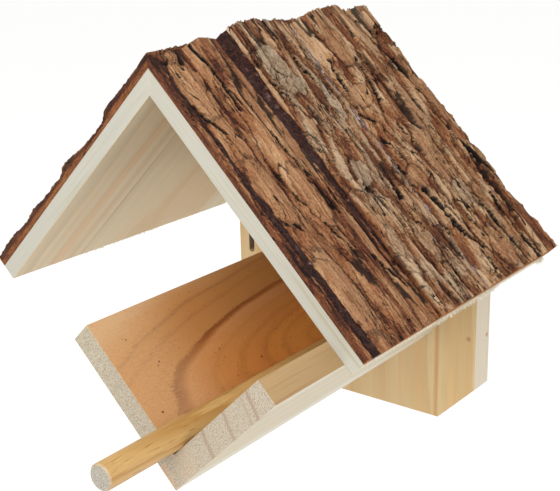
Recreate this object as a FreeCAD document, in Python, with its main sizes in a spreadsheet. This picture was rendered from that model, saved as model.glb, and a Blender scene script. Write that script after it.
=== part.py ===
import FreeCAD, Part
import Sketcher
import math
import os

# Hanging holder for a jar of peanut butter, for wild birds.
# Two roof boards meet at a right angle under strips of bark. A V-shaped cradle of two boards
# hangs from the right roof board and holds the jar on its side, with a perch dowel in its corner.
# A back board carries the roof and the cradle, and a strap through its two slots holds it up.
#
# Millimetres. +Z is up and -Y is the front. The origin lies on the back face of the back board,
# midway between the two strap slots.
#
# Most pieces are drawn in the frame of their roof slope: X runs along the slope from the ridge,
# down it on the right and up it on the left, Y runs along the ridge from the wall, and Z stands
# square to the slope, with 0 on the outer face of the roof board. Both slopes fall at 45 degrees.

doc = FreeCAD.newDocument("jar_holder")

# Driving sizes
sizes = {
    # height of the ridge over the strap slots
    "ridge_height": 143.5,
    # roof boards
    "roof_slope": 185,
    "roof_thick": 10,
    "roof_depth": 200,
    # cradle of two boards
    "cradle_thick": 14,
    "cradle_front": 54,
    "side_width": 91,
    "side_setback": 6,
    "floor_width": 79,
    # back board
    "back_width": 190,
    "back_thick": 18,
    "back_drop": 250,
    "back_corner": 26,
    # strap slots
    "strap_width": 4.5,
    "strap_length": 40,
    "strap_margin": 10.3,
    # perch dowel
    "perch_diameter": 14,
    "perch_front": 49,
    "perch_chamfer": 0.8,
    # bark strips
    "front_bark_thick": 4.8,
    "bark_thick": 8,
    "back_bark_thick": 11,
    "left_bark_thick": 6.6,
    "bark_furrow": 2.6,
    "bark_plate": 8.5,
    "bark_flank": 2.2,
    "bark_bevel": 1.2,
    "bark_overhang": 4,
    "seam_width": 2,
    "glue_height": 1.5,
    # brads from a nail gun: square wire with a chisel point
    "brad_width": 1.6,
    "brad_length": 30,
    "brad_tip": 2.5,
    "ridge_brad_margin": 40,
    "ridge_brad_spacing": 60,
    "gable_brad_margin": 38,
    "gable_brad_spacing": 42,
    "cradle_brad_margin": 42,
    "cradle_brad_spacing": 46,
    # screws
    "screw_diameter": 3.5,
    "screw_length": 40,
    "screw_head": 7,
    "screw_tip": 5,
    "side_screw_margin": 58,
    "side_screw_spacing": 24,
    "floor_screw_margin": 20,
    "floor_screw_spacing": 36,
}

# Fasteners in each row
ridge_brad_count = 3
gable_brad_count = 3
cradle_brad_count = 4
screw_count = 2

sheet = doc.addObject("Spreadsheet::Sheet", "Sizes")
for row, (name, number) in enumerate(sizes.items(), start=1):
    sheet.set("A%d" % row, name)
    sheet.set("B%d" % row, str(number))
    sheet.setAlias("B%d" % row, name)
doc.recompute()

# Places worked out from the driving sizes, in the frame of the right slope
side_outer = "(Sizes.roof_slope - Sizes.side_setback)"
side_middle = "(%s - Sizes.cradle_thick / 2)" % side_outer
side_inner = "(%s - Sizes.cradle_thick)" % side_outer
floor_under = "(-Sizes.roof_thick - Sizes.side_width)"
floor_middle = "(%s + Sizes.cradle_thick / 2)" % floor_under
floor_top = "(%s + Sizes.cradle_thick)" % floor_under
floor_edge = "(%s - Sizes.floor_width)" % side_inner
cradle_length = "Sizes.roof_depth - Sizes.back_thick + Sizes.cradle_front"
back_middle = "(Sizes.back_thick / 2)"

# Places of the first fastener in each row
ridge_brad_along = "(Sizes.roof_thick / 2)"
side_screw_across = "(-Sizes.roof_thick - Sizes.side_screw_margin)"
floor_screw_along = "(%s + Sizes.floor_screw_margin)" % floor_edge


def size(name):
    return float(sheet.get(name))


def place(expression):
    return float(sheet.evalExpression(expression))


def add_body(label, side=0, along="0", back="0", across="0", turn=FreeCAD.Rotation()):
    """Body on the right slope for side 1, on the left slope for -1, or upright for 0."""
    body = doc.addObject("PartDesign::Body", label)
    body.Label = label
    body.Placement.Rotation = FreeCAD.Rotation(FreeCAD.Vector(0, 1, 0), 45 * side).multiply(turn)
    sideways = "%d * (%s + %s) * sqrt(0.5)" % (side, along, across)
    drop = "(%s - %s) * sqrt(0.5)" % (along, across)
    body.setExpression(".Placement.Base.x", sideways)
    body.setExpression(".Placement.Base.y", "-%s" % back)
    body.setExpression(".Placement.Base.z", "Sizes.ridge_height - %s" % drop)
    return body


def origin_feature(body, role):
    for feature in body.Origin.OriginFeatures:
        if feature.Role == role:
            return feature, [""]


def add_sketch(body, name, plane):
    sketch = body.newObject("Sketcher::SketchObject", name)
    sketch.AttachmentSupport = origin_feature(body, plane)
    sketch.MapMode = "FlatFace"
    return sketch


def pin_point(sketch, curve, end, across, up):
    """Hold one point of a curve at two expressions, on an axis where one of them is zero."""
    for kind, axis, expression in (("DistanceX", -2, across), ("DistanceY", -1, up)):
        number = place(expression)
        if expression == "0":
            sketch.addConstraint(Sketcher.Constraint("PointOnObject", curve, end, axis))
        else:
            index = sketch.addConstraint(Sketcher.Constraint(kind, -1, 1, curve, end, number))
            sketch.setExpression("Constraints[%d]" % index, expression)


def add_outlines(body, name, plane, outlines):
    """Closed outlines of straight lines through corners given as pairs of expressions."""
    sketch = add_sketch(body, name, plane)
    for corners in outlines:
        first = sketch.GeometryCount
        points = [FreeCAD.Vector(place(across), place(up), 0) for across, up in corners]
        count = len(points)
        for index, point in enumerate(points):
            sketch.addGeometry(Part.LineSegment(point, points[(index + 1) % count]))
        for index in range(count):
            after = first + (index + 1) % count
            sketch.addConstraint(Sketcher.Constraint("Coincident", first + index, 2, after, 1))
        for index, (across, up) in enumerate(corners):
            pin_point(sketch, first + index, 1, across, up)
    return sketch


def add_squares(body, name, plane, centres, width):
    """Equal squares round centres given as pairs of expressions."""
    outlines = []
    for across, up in centres:
        corners = [("%s + %s * %s" % (across, right, width), "%s + %s * %s" % (up, above, width))
                   for right, above in ((-0.5, -0.5), (0.5, -0.5), (0.5, 0.5), (-0.5, 0.5))]
        outlines.append(corners)
    return add_outlines(body, name, plane, outlines)


def add_circles(body, name, plane, centres, diameter):
    """Equal circles round centres given as pairs of expressions."""
    sketch = add_sketch(body, name, plane)
    upright = FreeCAD.Vector(0, 0, 1)
    for index, (across, up) in enumerate(centres):
        centre = FreeCAD.Vector(place(across), place(up), 0)
        sketch.addGeometry(Part.Circle(centre, upright, place(diameter) / 2))
        pin_point(sketch, index, 3, across, up)
        round_size = Sketcher.Constraint("Diameter", index, place(diameter))
        sketch.setExpression("Constraints[%d]" % sketch.addConstraint(round_size), diameter)
    return sketch


def add_pad(body, sketch, length):
    pad = body.newObject("PartDesign::Pad", sketch.Name + "_pad")
    pad.Profile = sketch
    pad.setExpression("Length", length)
    doc.recompute()
    return pad


def add_pocket(body, sketch, depth=None):
    """Pocket into the body, through all of it where no depth is given."""
    before = body.Shape.Volume
    pocket = body.newObject("PartDesign::Pocket", sketch.Name + "_pocket")
    pocket.Profile = sketch
    if depth:
        pocket.setExpression("Length", depth)
    else:
        pocket.Type = "ThroughAll"
    doc.recompute()
    if body.Shape.Volume >= before:
        raise ValueError(pocket.Name + " cuts nothing")
    return pocket


def add_row(body, feature, axis, spacing, count, reverse=False):
    row = body.newObject("PartDesign::LinearPattern", feature.Name + "_row")
    row.Originals = [feature]
    row.Direction = origin_feature(body, axis)
    row.Reversed = reverse
    row.Mode = "Spacing"
    row.setExpression("Offset", spacing)
    row.Occurrences = count
    body.Tip = row
    doc.recompute()
    return row


def row_of(first, spacing, count):
    """Expressions for the places of a row of fasteners."""
    return ["(%s + %d * %s)" % (first, index, spacing) for index in range(count)]


# Rows of fasteners: along the ridge from the wall, or down the slope from the ridge
ridge_brads = row_of("Sizes.ridge_brad_margin", "Sizes.ridge_brad_spacing", ridge_brad_count)
gable_brads = row_of("Sizes.gable_brad_margin", "Sizes.gable_brad_spacing", gable_brad_count)
cradle_brads = row_of("Sizes.cradle_brad_margin", "Sizes.cradle_brad_spacing", cradle_brad_count)
side_screws = row_of("Sizes.side_screw_margin", "Sizes.side_screw_spacing", screw_count)
floor_screws = row_of(floor_screw_along, "Sizes.floor_screw_spacing", screw_count)


# Roof boards: square at the eaves, mitred where they meet at the ridge


def add_roof_board(label, side):
    body = add_body(label, side)
    corners = [
        ("0", "0"),
        ("%d * Sizes.roof_slope" % side, "0"),
        ("%d * Sizes.roof_slope" % side, "-Sizes.roof_thick"),
        ("%d * Sizes.roof_thick" % side, "-Sizes.roof_thick"),
    ]
    outline = add_outlines(body, label + "_outline", "XZ_Plane", [corners])
    add_pad(body, outline, "Sizes.roof_depth")
    return body


def bore_for_brads(body, name, centres, plane="XY_Plane", depth=None):
    """Bores for brads driven flush, square to the outer face unless another plane is given."""
    add_pocket(body, add_squares(body, name, plane, centres, "Sizes.brad_width"), depth)


def make_roof_board_left():
    body = add_roof_board("roof_board_left", -1)
    gable_centres = [("-%s" % along, "-%s" % back_middle) for along in gable_brads]
    bore_for_brads(body, "left_gable", gable_centres)
    # the ridge brads run down the middle of this board's thickness
    ridge_centres = [("-%s" % back, "-%s" % ridge_brad_along) for back in ridge_brads]
    bore_for_brads(body, "left_ridge", ridge_centres, "YZ_Plane", "Sizes.brad_length")
    return body


def make_roof_board_right():
    body = add_roof_board("roof_board_right", 1)
    bore_for_brads(body, "right_gable", [(along, "-%s" % back_middle) for along in gable_brads])
    bore_for_brads(body, "right_ridge", [(ridge_brad_along, "-%s" % back) for back in ridge_brads])
    bore_for_brads(body, "right_cradle", [(side_middle, "-%s" % back) for back in cradle_brads])
    return body


# Back board: its gable top fits under the roof boards, and its lower corners are cut off


def add_slot(body, name, across, up):
    """Upright slot with round ends, centred on a pair of expressions."""
    sketch = add_sketch(body, name, "XZ_Plane")
    radius = size("strap_width") / 2
    reach = (size("strap_length") - size("strap_width")) / 2
    half = "(Sizes.strap_length - Sizes.strap_width) / 2"
    x, middle = place(across), place(up)
    upright = FreeCAD.Vector(0, 0, 1)
    top = Part.Circle(FreeCAD.Vector(x, middle + reach, 0), upright, radius)
    bottom = Part.Circle(FreeCAD.Vector(x, middle - reach, 0), upright, radius)
    sketch.addGeometry(Part.ArcOfCircle(top, 0, math.pi))
    sketch.addGeometry(Part.ArcOfCircle(bottom, math.pi, 2 * math.pi))
    for edge in (x - radius, x + radius):
        low = FreeCAD.Vector(edge, middle - reach, 0)
        high = FreeCAD.Vector(edge, middle + reach, 0)
        sketch.addGeometry(Part.LineSegment(low, high))
    joints = ((0, 2, 2, 2), (2, 1, 1, 1), (1, 2, 3, 1), (3, 2, 0, 1))
    for first, first_end, second, second_end in joints:
        joint = Sketcher.Constraint("Tangent", first, first_end, second, second_end)
        sketch.addConstraint(joint)
    sketch.addConstraint(Sketcher.Constraint("Equal", 0, 1))
    pin_point(sketch, 0, 3, across, "%s + %s" % (up, half))
    pin_point(sketch, 1, 3, across, "%s - %s" % (up, half))
    index = sketch.addConstraint(Sketcher.Constraint("Radius", 0, radius))
    sketch.setExpression("Constraints[%d]" % index, "Sizes.strap_width / 2")
    return sketch


def bore_gable(body, side, along, index):
    """Bore for one gable brad, from the outer face of the roof board square to its slope."""
    bore = body.newObject("PartDesign::SubtractiveBox", "gable_bore_%d" % index)
    turn = FreeCAD.Rotation(FreeCAD.Vector(0, 1, 0), 180 + 45 * side)
    bore.Placement = FreeCAD.Placement(FreeCAD.Vector(0, 0, 0), turn)
    half = "Sizes.brad_width / 2"
    bore.setExpression(".Placement.Base.x", "(%d * %s + %s) * sqrt(0.5)" % (side, along, half))
    bore.setExpression(".Placement.Base.y", "-%s - %s" % (back_middle, half))
    bore.setExpression(".Placement.Base.z", "(-%s - %d * %s) * sqrt(0.5)" % (along, side, half))
    bore.setExpression("Length", "Sizes.brad_width")
    bore.setExpression("Width", "Sizes.brad_width")
    bore.setExpression("Height", "Sizes.brad_length")
    doc.recompute()


def countersink_back(body, centres):
    """Countersunk holes for the screws, from the back face."""
    sketch = add_circles(body, "screw_centres", "XZ_Plane", centres, "Sizes.screw_diameter")
    doc.recompute()
    before = body.Shape.Volume
    hole = body.newObject("PartDesign::Hole", "screw_holes")
    hole.Profile = sketch
    doc.recompute()
    hole.ThreadType = "None"
    hole.DepthType = "ThroughAll"
    hole.HoleCutType = "Countersink"
    hole.Reversed = True
    doc.recompute()
    hole.setExpression("Diameter", "Sizes.screw_diameter")
    hole.setExpression("HoleCutDiameter", "Sizes.screw_head")
    hole.HoleCutCountersinkAngle = 90
    doc.recompute()
    if body.Shape.Volume >= before:
        raise ValueError("the screw holes cut nothing")


def make_back_board():
    body = add_body("back_board")
    half = "Sizes.back_width / 2"
    foot = "(Sizes.back_width / 2 - Sizes.back_corner)"
    under = "Sizes.roof_thick * sqrt(2)"
    corners = [
        ("0", "-%s" % under),
        ("-%s" % half, "-%s - %s" % (half, under)),
        ("-%s" % half, "-Sizes.back_drop + Sizes.back_corner"),
        ("-%s" % foot, "-Sizes.back_drop"),
        (foot, "-Sizes.back_drop"),
        (half, "-Sizes.back_drop + Sizes.back_corner"),
        (half, "-%s - %s" % (half, under)),
    ]
    outline = add_outlines(body, "back_outline", "XZ_Plane", [corners])
    add_pad(body, outline, "Sizes.back_thick")
    left_slot = add_slot(
        body, "strap_slot", "-Sizes.back_width / 2 + Sizes.strap_margin", "-Sizes.ridge_height")
    # the slot is cut towards the front, away from the sketch's back
    slot = body.newObject("PartDesign::Pocket", "strap_slot_pocket")
    slot.Profile = left_slot
    slot.Type = "ThroughAll"
    slot.Reversed = True
    doc.recompute()
    slots = body.newObject("PartDesign::Mirrored", "strap_slots")
    slots.Originals = [slot]
    slots.MirrorPlane = origin_feature(body, "YZ_Plane")
    body.Tip = slots
    doc.recompute()
    for index, along in enumerate(gable_brads):
        bore_gable(body, -1, along, index)
        bore_gable(body, 1, along, index + gable_brad_count)
    centres = [slope_point(side_middle, "(-Sizes.roof_thick - %s)" % down) for down in side_screws]
    centres += [slope_point(along, floor_middle) for along in floor_screws]
    countersink_back(body, centres)
    return body


def slope_point(along, across):
    """A point of the right slope's frame, seen from the front, as a pair of expressions."""
    return "(%s + %s) * sqrt(0.5)" % (along, across), "(%s - %s) * sqrt(0.5)" % (across, along)


# Cradle: the side board hangs square from the right roof board, and the floor board butts on it


def add_cradle_board(label, corners, brad_bores, screw_centres):
    body = add_body(label, 1, back="Sizes.back_thick")
    outline = add_outlines(body, label + "_outline", "XZ_Plane", [corners])
    add_pad(body, outline, cradle_length)
    bores = add_circles(
        body, label + "_screws", "XZ_Plane", screw_centres, "Sizes.screw_diameter")
    pocket = body.newObject("PartDesign::Pocket", label + "_screws_pocket")
    pocket.Profile = bores
    pocket.Reversed = True
    pocket.setExpression("Length", "Sizes.screw_length - Sizes.back_thick")
    doc.recompute()
    if brad_bores:
        bore_for_brads(body, label + "_brads", brad_bores, depth="Sizes.brad_length")
    return body


def make_cradle_side():
    corners = [
        (side_inner, "-Sizes.roof_thick"),
        (side_outer, "-Sizes.roof_thick"),
        (side_outer, floor_under),
        (side_inner, floor_under),
    ]
    brads = [(side_middle, "Sizes.back_thick - %s" % back) for back in cradle_brads]
    screws = [(side_middle, "(-Sizes.roof_thick - %s)" % down) for down in side_screws]
    return add_cradle_board("cradle_side", corners, brads, screws)


def make_cradle_floor():
    corners = [
        (floor_edge, floor_top),
        (side_inner, floor_top),
        (side_inner, floor_under),
        (floor_edge, floor_under),
    ]
    screws = [(along, floor_middle) for along in floor_screws]
    return add_cradle_board("cradle_floor", corners, [], screws)


# Perch: a dowel that lies in the corner of the cradle and stands out in front of it


def make_perch():
    body = add_body("perch", 1, back="Sizes.back_thick")
    radius = "Sizes.perch_diameter / 2"
    centre = ("%s - %s" % (side_inner, radius), "%s + %s" % (floor_top, radius))
    circle = add_circles(body, "perch_round", "XZ_Plane", [centre], "Sizes.perch_diameter")
    dowel = add_pad(body, circle, cradle_length + " + Sizes.perch_front")
    front = min(dowel.Shape.Faces, key=lambda face: face.CenterOfMass.y)
    names = ["Edge%d" % (index + 1) for index, edge in enumerate(dowel.Shape.Edges)
             if any(edge.isSame(rim) for rim in front.Edges)]
    rim = body.newObject("PartDesign::Chamfer", "perch_rim")
    rim.Base = (dowel, names)
    rim.setExpression("Size", "Sizes.perch_chamfer")
    doc.recompute()
    return body


# Fasteners: each body's Z axis is the first one's axis, with the top of the head at 0


def add_brads(label, side, along, back, axis, spacing, count, reverse=False):
    shoulder = "-Sizes.brad_length + Sizes.brad_tip"
    profile = [
        ("-Sizes.brad_width / 2", "0"),
        ("Sizes.brad_width / 2", "0"),
        ("Sizes.brad_width / 2", shoulder),
        ("0", "-Sizes.brad_length"),
        ("-Sizes.brad_width / 2", shoulder),
    ]
    body = add_body(label, side, along, back)
    outline = add_outlines(body, label + "_profile", "XZ_Plane", [profile])
    brad = add_pad(body, outline, "Sizes.brad_width")
    brad.SideType = "Symmetric"
    doc.recompute()
    add_row(body, brad, axis, spacing, count, reverse)
    return body


def add_screws(label, along, across, axis, spacing, reverse=False):
    shank = "Sizes.screw_diameter / 2"
    profile = [
        ("0", "0"),
        ("Sizes.screw_head / 2", "0"),
        (shank, "(Sizes.screw_diameter - Sizes.screw_head) / 2"),
        (shank, "-Sizes.screw_length + Sizes.screw_tip"),
        ("0", "-Sizes.screw_length"),
    ]
    # the axis points out of the wall side, the body's Y down the width of the cradle side
    from_back = FreeCAD.Rotation(FreeCAD.Vector(1, 0, 0), -90)
    body = add_body(label, 1, along, "0", across, from_back)
    outline = add_outlines(body, label + "_profile", "XZ_Plane", [profile])
    screw = body.newObject("PartDesign::Revolution", label + "_turned")
    screw.Profile = outline
    screw.ReferenceAxis = (outline, ["V_Axis"])
    screw.Angle = 360
    doc.recompute()
    add_row(body, screw, axis, spacing, screw_count, reverse)
    return body


def make_fasteners():
    ridge = add_brads(
        "ridge_brads", 1, ridge_brad_along, "Sizes.ridge_brad_margin",
        "Y_Axis", "Sizes.ridge_brad_spacing", ridge_brad_count, True)
    gable_left = add_brads(
        "roof_brads_left", -1, "Sizes.gable_brad_margin", back_middle,
        "X_Axis", "Sizes.gable_brad_spacing", gable_brad_count, True)
    gable_right = add_brads(
        "roof_brads_right", 1, "Sizes.gable_brad_margin", back_middle,
        "X_Axis", "Sizes.gable_brad_spacing", gable_brad_count)
    cradle = add_brads(
        "cradle_brads", 1, side_middle, "Sizes.cradle_brad_margin",
        "Y_Axis", "Sizes.cradle_brad_spacing", cradle_brad_count, True)
    side = add_screws(
        "side_screws", side_middle, side_screw_across, "Y_Axis", "Sizes.side_screw_spacing")
    floor = add_screws(
        "floor_screws", floor_screw_along, floor_middle, "X_Axis", "Sizes.floor_screw_spacing")
    return [ridge, gable_left, gable_right, cradle, side, floor]


# Bark: strips side by side along the ridge, each with ridges and furrows that run down the slope.
# A seam is a curve down the slope, filled with glue. It has three values of each kind: at the
# ridge, half way down and at the eaves. First come its shares of the roof's depth, counted from
# the front, then its widths in seam widths, then how high the glue fills it in glue heights.
# A strip's crowns are its thickness as a share of its bark's thickness at those three places.

right_seams = [
    ((0.026, 0.029, 0.036), (2.75, 2.75, 3.25), (1.3, 1.3, 1.3)),
    ((0.2875, 0.3075, 0.335), (4.5, 1.5, 1), (3.2, 2.4, 1.4)),
    ((0.590, 0.588, 0.5915), (0.8, 0.8, 0.8), (3.6, 3.2, 3)),
    ((0.8875, 0.945, 0.915), (0.75, 1.5, 1), (2, 1.6, 1.6)),
]
right_strips = [
    ("front_bark_thick", (1, 0.9, 1)),
    ("bark_thick", (0.9, 0.85, 0.8)),
    ("back_bark_thick", (1, 0.85, 0.8)),
    ("back_bark_thick", (1, 0.9, 0.85)),
    ("back_bark_thick", (0.85, 0.8, 0.85)),
]
left_seams = [
    ((0.20, 0.22, 0.21), (0.8, 1.2, 1), (1.2, 1, 1.4)),
    ((0.41, 0.39, 0.40), (1, 0.8, 1.1), (1.6, 1.2, 1.2)),
    ((0.64, 0.66, 0.65), (0.8, 0.8, 1.5), (1.8, 1.4, 1.2)),
    ((0.83, 0.82, 0.84), (1, 1.5, 0.8), (1.4, 1.4, 1.6)),
]
left_strips = [
    ("left_bark_thick", (0.85, 0.8, 1)),
    ("left_bark_thick", (1, 1, 0.9)),
    ("back_bark_thick", (0.9, 0.8, 0.7)),
    ("back_bark_thick", (0.85, 0.8, 0.8)),
    ("bark_thick", (0.95, 0.9, 0.9)),
]
bark_stations = 9


def blend(three, part):
    """Value at a part of the way along a parabola through three values."""
    start, middle, end = three
    return (start * (1 - part) * (1 - 2 * part) + middle * 4 * part * (1 - part)
            + end * part * (2 * part - 1))


def uneven(first, second, third=0):
    """A steady number between -1 and 1 that looks like chance."""
    return math.sin(2.4 * first + 1.7 * second + 3.1 * third + 0.6)


def seam_edges(seams, index, part):
    """Front and back edge of seam number index, as places along the ridge from the wall."""
    depth = size("roof_depth")
    if index == 0:
        return -depth, -depth
    if index > len(seams):
        ragged = size("bark_overhang") * blend((0.3, 0.1, 1), part)
        return ragged, ragged
    shares, widths, fills = seams[index - 1]
    centre = depth * (blend(shares, part) - 1)
    half = size("seam_width") * blend(widths, part) / 2
    return centre - half, centre + half


def strip_profile(front, back, thick, strip, station):
    """Cross-section of a strip as pairs of place along the ridge and height over the board."""
    flank = min(size("bark_flank"), thick / 2)
    bevel = min(size("bark_bevel"), (back - front) / 4)
    plates = max(1, round((strip["widest"]) / size("bark_plate")))
    pitch = (back - front - 2 * bevel) / plates
    points = [(front, 0), (front, flank)]
    for plate in range(plates):
        middle = (plate + 0.5) / plates
        crown = thick * (0.8 + 0.2 * math.sin(math.pi * middle))
        height = crown * (0.92 + 0.08 * uneven(strip["number"], plate, station))
        left = front + bevel + pitch * plate
        sway = pitch * 0.14 * uneven(plate, station, strip["number"])
        groove = min(pitch * 0.16, bevel)
        if plate:
            deep = max(flank, height - size("bark_furrow"))
            points.append((left + sway, deep))
            left += sway
        right = front + bevel + pitch * (plate + 1)
        if plate < plates - 1:
            right += pitch * 0.14 * uneven(plate + 1, station, strip["number"])
        points.append((left + (groove if plate else 0), height * 0.97))
        points.append((right - (groove if plate < plates - 1 else 0), height))
    points += [(back, flank), (back, 0)]
    return points


def slope_points(side, part, profile):
    """Profile set up on a slope: on the upright ridge plane first, then square to the slope."""
    slope = size("roof_slope")
    points = []
    for along_ridge, height in profile:
        down = slope * part if part else -height
        points.append(FreeCAD.Vector(side * down, along_ridge, height))
    return points


def facet(corners):
    return Part.Face(Part.makePolygon(corners + corners[:1]))


def solid_along(side, profiles):
    """Solid of flat facets through profiles spaced evenly from the ridge to the eaves."""
    last = len(profiles) - 1
    rows = [slope_points(side, index / last, profile) for index, profile in enumerate(profiles)]
    facets = [facet(rows[0]), facet(rows[-1])]
    for upper, lower in zip(rows, rows[1:]):
        for index in range(len(upper) - 1):
            facets.append(facet([upper[index], upper[index + 1], lower[index + 1]]))
            facets.append(facet([upper[index], lower[index + 1], lower[index]]))
    facets.append(facet([row[0] for row in rows] + [row[-1] for row in reversed(rows)]))
    solid = Part.Solid(Part.Shell(facets))
    return solid if solid.Volume > 0 else solid.reversed()


def add_on_slope(label, side, shape):
    feature = doc.addObject("Part::Feature", label)
    feature.Label = label
    feature.Shape = shape
    tilt = FreeCAD.Rotation(FreeCAD.Vector(0, 1, 0), 45 * side)
    feature.Placement = FreeCAD.Placement(FreeCAD.Vector(0, 0, size("ridge_height")), tilt)
    return feature


def make_bark(name, side, seams, strips):
    pieces = []
    parts = [index / (bark_stations - 1) for index in range(bark_stations)]
    for number, (thick_name, crowns) in enumerate(strips):
        edges = [(seam_edges(seams, number, part)[1], seam_edges(seams, number + 1, part)[0])
                 for part in parts]
        strip = {"number": number + 6 * side, "widest": max(back - front for front, back in edges)}
        profiles = []
        for station, (front, back) in enumerate(edges):
            thick = size(thick_name) * blend(crowns, parts[station])
            profiles.append(strip_profile(front, back, thick, strip, station))
        label = "bark_%s_%d" % (name, number + 1)
        pieces.append(add_on_slope(label, side, solid_along(side, profiles)))
    beads = []
    for number, (shares, widths, fills) in enumerate(seams, start=1):
        profiles = []
        for part in parts:
            front, back = seam_edges(seams, number, part)
            height = size("glue_height") * blend(fills, part)
            profiles.append([(front, 0), (front, height), (back, height), (back, 0)])
        beads.append(solid_along(side, profiles))
    pieces.append(add_on_slope("bark_glue_" + name, side, Part.makeCompound(beads)))
    return pieces


# Build every piece, check it and write it

pieces = [
    make_back_board(),
    make_roof_board_left(),
    make_roof_board_right(),
    make_cradle_side(),
    make_cradle_floor(),
    make_perch(),
]
pieces += make_fasteners()
pieces += make_bark("right", 1, right_seams, right_strips)
pieces += make_bark("left", -1, left_seams, left_strips)
doc.recompute()

for item in doc.Objects:
    if "Invalid" in item.State or "Error" in item.State:
        raise ValueError("%s failed: %s" % (item.Name, item.State))
for piece in pieces:
    if piece.Shape.isNull() or not piece.Shape.isValid() or piece.Shape.Volume <= 0:
        raise ValueError(piece.Label + " is not a good solid")

os.makedirs("parts", exist_ok=True)
for piece in pieces:
    piece.Shape.exportStep("parts/%s.step" % piece.Label)
    print("%-18s %d solid(s) %10.1f mm3" % (
        piece.Label, len(piece.Shape.Solids), piece.Shape.Volume))
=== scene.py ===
import math
import random

import bmesh
import bpy
from mathutils import Matrix, Vector, noise


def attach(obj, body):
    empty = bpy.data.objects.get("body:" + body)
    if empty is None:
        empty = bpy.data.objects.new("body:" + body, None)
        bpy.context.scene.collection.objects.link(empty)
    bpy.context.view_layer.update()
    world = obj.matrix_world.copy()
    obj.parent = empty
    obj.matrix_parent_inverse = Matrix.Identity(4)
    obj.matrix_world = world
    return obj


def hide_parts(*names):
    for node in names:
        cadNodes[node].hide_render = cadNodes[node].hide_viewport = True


# Jar holder for wild birds: a bark-covered roof, a V cradle with a perch, and a back board.
# Metres in the scene, millimetres in the tables below.

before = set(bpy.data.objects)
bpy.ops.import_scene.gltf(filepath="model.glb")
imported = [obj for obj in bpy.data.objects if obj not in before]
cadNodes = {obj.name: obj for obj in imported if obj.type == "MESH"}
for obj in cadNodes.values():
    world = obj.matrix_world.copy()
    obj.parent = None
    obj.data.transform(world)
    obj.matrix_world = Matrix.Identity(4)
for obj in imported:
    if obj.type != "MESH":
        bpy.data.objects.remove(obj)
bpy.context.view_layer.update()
mm = 0.001

roof = {"ridge": 143.5, "slope": 185.0, "depth": 200.0}
slopes = ((1, "right"), (-1, "left"))


def onSlope(side, down, back, out):
    # a point down from the ridge, back from the roof's front edge and out from the board
    flat = math.sqrt(0.5)
    return Vector((side * (down + out) * flat, back - roof["depth"],
                   roof["ridge"] + (out - down) * flat)) * mm


def smooth(value, low, high):
    part = min(1.0, max(0.0, (value - low) / (high - low)))
    return part * part * (3 - 2 * part)


def ripple(x, y, z):
    # smooth noise from about -1 to 1
    return noise.noise(Vector((x, y, z)))


def between(points, place):
    # value at a place along a list of (place, value) corners
    if place <= points[0][0]:
        return points[0][1]
    for (start, low), (end, high) in zip(points, points[1:]):
        if place <= end:
            return low + (high - low) * (place - start) / (end - start)
    return points[-1][1]


def threeWay(three, part):
    # parabola through a value at the ridge, half way down and at the eave
    start, middle, end = three
    return (start * (1 - part) * (1 - 2 * part) + middle * 4 * part * (1 - part)
            + end * part * (2 * part - 1))


# ---- materials

def linear(hexColour):
    channels = [int(hexColour[i:i + 2], 16) / 255 for i in (1, 3, 5)]
    return tuple(c / 12.92 if c <= 0.04045 else ((c + 0.055) / 1.055) ** 2.4
                 for c in channels) + (1.0,)


def wire(tree, node, inputs):
    # each input gets a value, or a link from the socket that feeds it
    for name, value in inputs.items():
        if isinstance(value, bpy.types.NodeSocket):
            tree.links.new(value, node.inputs[name])
        else:
            node.inputs[name].default_value = value


def addNode(tree, kind, inputs=None, stops=None, **settings):
    made = tree.nodes.new("ShaderNode" + kind)
    for name, value in settings.items():
        setattr(made, name, value)
    if stops:
        ramp = made.color_ramp.elements
        while len(ramp) < len(stops):
            ramp.new(0.5)
        for spot, (place, colour) in zip(ramp, stops):
            spot.position = place
            spot.color = linear(colour) if isinstance(colour, str) else (colour,) * 3 + (1,)
    wire(tree, made, inputs or {})
    return made


def newMaterial(name):
    made = bpy.data.materials.new(name)
    made.use_nodes = True
    return made, made.node_tree, made.node_tree.nodes["Principled BSDF"]


def grainNoise(tree, spot, long, wide, detail, rough, shift=(0, 0, 0)):
    # a pattern drawn out along X: its length and its width in mm
    sized = addNode(tree, "Mapping", {
        "Vector": spot, "Scale": (1 / long, 1 / wide, 1 / wide), "Location": shift})
    return addNode(tree, "TexNoise", {
        "Vector": sized.outputs[0], "Scale": 1.0, "Detail": detail, "Roughness": rough})


def grainFrame(side, turn=0.0, tilt=0.0, roll=0.0):
    # turns a board's own frame so that its X runs with the grain
    turned = (Matrix.Rotation(math.radians(45 * side), 3, "Y")
              @ Matrix.Rotation(math.radians(turn), 3, "Z")
              @ Matrix.Rotation(math.radians(tilt), 3, "Y")
              @ Matrix.Rotation(math.radians(roll), 3, "X"))
    return turned.to_euler("XYZ")


# what a board has unless its own table says otherwise: each pattern's length with the grain and
# width across it in mm, how far the rings bend, feather and wave in mm, and shares of 1; the pores
# are drawn coarse, so that they show
planedPine = {
    "bendSize": (90, 14), "fibreSize": (40, 0.55), "tintSize": (260, 16), "poreSize": (2, 0.8),
    "edgeSize": (120, 2.2), "bend": 7, "feather": 1.5, "wave": 5, "fibre": 0.08,
    "tintShare": 0.5, "endFrom": 0.75, "endRings": 0.35, "streakOn": (1.0, 1.0), "knots": [],
    "relief": 0.25, "reliefDeep": 0.3, "rough": 0.55, "gloss": 0.35}


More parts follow.
